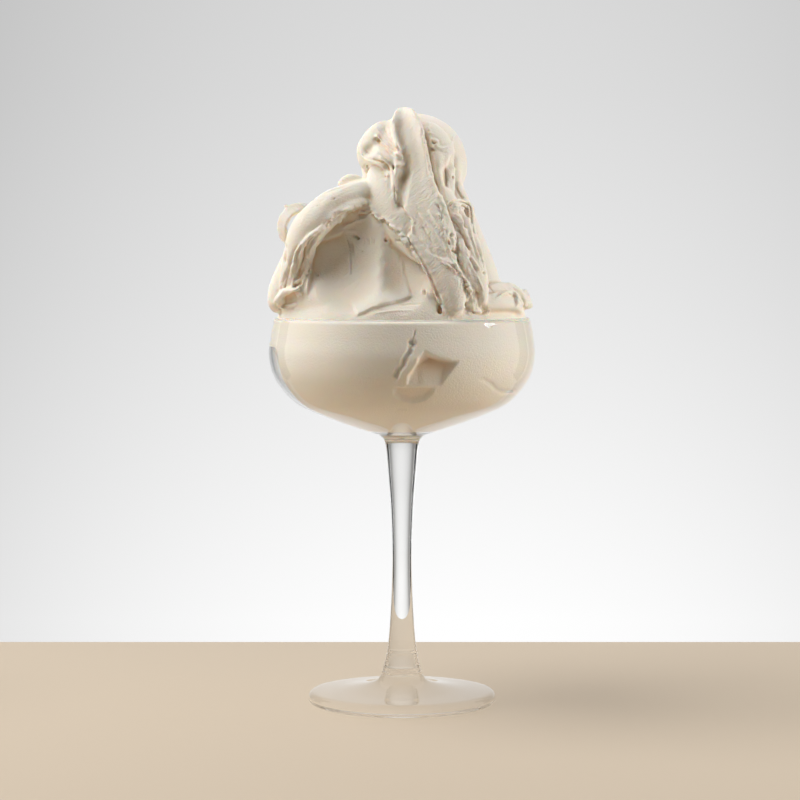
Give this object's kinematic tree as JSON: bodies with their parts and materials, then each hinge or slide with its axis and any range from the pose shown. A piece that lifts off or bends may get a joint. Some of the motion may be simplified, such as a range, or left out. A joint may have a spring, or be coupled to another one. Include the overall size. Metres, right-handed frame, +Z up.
{
  "type": "gelato cup",
  "caption": "Stemmed coupe glass filled with one tall heap of pale gelato in broad spatula strokes and torn folds, rising to a peak.",
  "frame": {"origin": "middle of the foot's flat underside", "axes": "+Z up along the stem, -Y towards the viewer, who sees the concave scoop on the left and the long stroke on the right, +X to the viewer's right"},
  "size_m": [0.1048, 0.1038, 0.233],
  "materials": {
    "glass": "clear, polished",
    "gelato": "soft matt cream"
  },
  "bodies": {
    "root": {"glass": "glass", "gelato": "gelato"}
  },
  "joints": []
}
